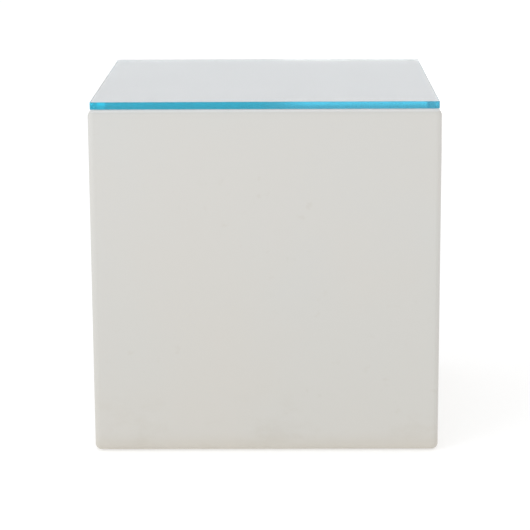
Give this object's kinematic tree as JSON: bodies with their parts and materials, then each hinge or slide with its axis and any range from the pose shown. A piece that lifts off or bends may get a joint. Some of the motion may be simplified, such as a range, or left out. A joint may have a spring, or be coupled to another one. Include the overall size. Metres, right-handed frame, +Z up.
{
  "type": "display cube",
  "caption": "Closed opal white cube with rounded edges and a loose clear slab on top, for showing objects, on levelling feet let into its base.",
  "frame": {"origin": "on the floor, under the middle of the cube, with the levelling feet wound in", "axes": "+Z up, +X to the right seen from the front, +Y from the front wall towards the back wall"},
  "size_m": [0.4572, 0.4572, 0.4692],
  "materials": {
    "opal_acrylic": "opal white cast acrylic, satin",
    "bar_acrylic": "opal white cast acrylic, sawn and bonded",
    "slab_glass": "clear low-iron float glass, azure at its polished edges",
    "clear_bumper": "clear soft polyurethane",
    "insert_brass": "turned",
    "stud_steel": "zinc plated",
    "foot_nylon": "moulded black nylon",
    "sole_rubber": "soft dark grey rubber"
  },
  "bodies": {
    "cube": {"front_wall": "opal_acrylic", "back_wall": "opal_acrylic", "left_wall": "opal_acrylic", "right_wall": "opal_acrylic", "top_deck": "opal_acrylic", "base_panel": "opal_acrylic", "corner_post_front_left": "bar_acrylic", "corner_post_front_right": "bar_acrylic", "corner_post_back_left": "bar_acrylic", "corner_post_back_right": "bar_acrylic", "deck_batten_front": "bar_acrylic", "base_batten_front": "bar_acrylic", "deck_batten_back": "bar_acrylic", "base_batten_back": "bar_acrylic", "deck_batten_left": "bar_acrylic", "base_batten_left": "bar_acrylic", "deck_batten_right": "bar_acrylic", "base_batten_right": "bar_acrylic", "foot_block_front_left": "bar_acrylic", "thread_insert_front_left": "insert_brass", "bumper_front_left": "clear_bumper", "foot_block_front_right": "bar_acrylic", "thread_insert_front_right": "insert_brass", "bumper_front_right": "clear_bumper", "foot_block_back_left": "bar_acrylic", "thread_insert_back_left": "insert_brass", "bumper_back_left": "clear_bumper", "foot_block_back_right": "bar_acrylic", "thread_insert_back_right": "insert_brass", "bumper_back_right": "clear_bumper"},
    "lift_off_slab": {"top_slab": "slab_glass"},
    "levelling_foot_front_left": {"foot_front_left": "foot_nylon", "foot_sole_front_left": "sole_rubber"},
    "levelling_screw_front_left": {"levelling_stud_front_left": "stud_steel"},
    "levelling_foot_front_right": {"foot_front_right": "foot_nylon", "foot_sole_front_right": "sole_rubber"},
    "levelling_screw_front_right": {"levelling_stud_front_right": "stud_steel"},
    "levelling_foot_back_left": {"foot_back_left": "foot_nylon", "foot_sole_back_left": "sole_rubber"},
    "levelling_screw_back_left": {"levelling_stud_back_left": "stud_steel"},
    "levelling_foot_back_right": {"foot_back_right": "foot_nylon", "foot_sole_back_right": "sole_rubber"},
    "levelling_screw_back_right": {"levelling_stud_back_right": "stud_steel"}
  },
  "joints": [
    {"name": "slab_lift", "type": "slide", "parent": "cube", "child": "lift_off_slab", "axis": [0, 0, 1], "range_m": [0, 0.06]},
    {"name": "foot_travel_front_left", "type": "slide", "parent": "cube", "child": "levelling_foot_front_left", "axis": [0, 0, -1], "range_m": [0, 0.006]},
    {"name": "stud_turn_front_left", "type": "hinge", "parent": "levelling_foot_front_left", "child": "levelling_screw_front_left", "pos_m": [-0.1826, -0.1826, 0], "axis": [0, 0, -1], "range_deg": [0, 1728]},
    {"name": "foot_travel_front_right", "type": "slide", "parent": "cube", "child": "levelling_foot_front_right", "axis": [0, 0, -1], "range_m": [0, 0.006]},
    {"name": "stud_turn_front_right", "type": "hinge", "parent": "levelling_foot_front_right", "child": "levelling_screw_front_right", "pos_m": [0.1826, -0.1826, 0], "axis": [0, 0, -1], "range_deg": [0, 1728]},
    {"name": "foot_travel_back_left", "type": "slide", "parent": "cube", "child": "levelling_foot_back_left", "axis": [0, 0, -1], "range_m": [0, 0.006]},
    {"name": "stud_turn_back_left", "type": "hinge", "parent": "levelling_foot_back_left", "child": "levelling_screw_back_left", "pos_m": [-0.1826, 0.1826, 0], "axis": [0, 0, -1], "range_deg": [0, 1728]},
    {"name": "foot_travel_back_right", "type": "slide", "parent": "cube", "child": "levelling_foot_back_right", "axis": [0, 0, -1], "range_m": [0, 0.006]},
    {"name": "stud_turn_back_right", "type": "hinge", "parent": "levelling_foot_back_right", "child": "levelling_screw_back_right", "pos_m": [0.1826, 0.1826, 0], "axis": [0, 0, -1], "range_deg": [0, 1728]}
  ],
  "couplings": [
    {"joint": "stud_turn_front_left", "follows": "foot_travel_front_left", "rad_per_m": 5026.5},
    {"joint": "stud_turn_front_right", "follows": "foot_travel_front_right", "rad_per_m": 5026.5},
    {"joint": "stud_turn_back_left", "follows": "foot_travel_back_left", "rad_per_m": 5026.5},
    {"joint": "stud_turn_back_right", "follows": "foot_travel_back_right", "rad_per_m": 5026.5}
  ]
}
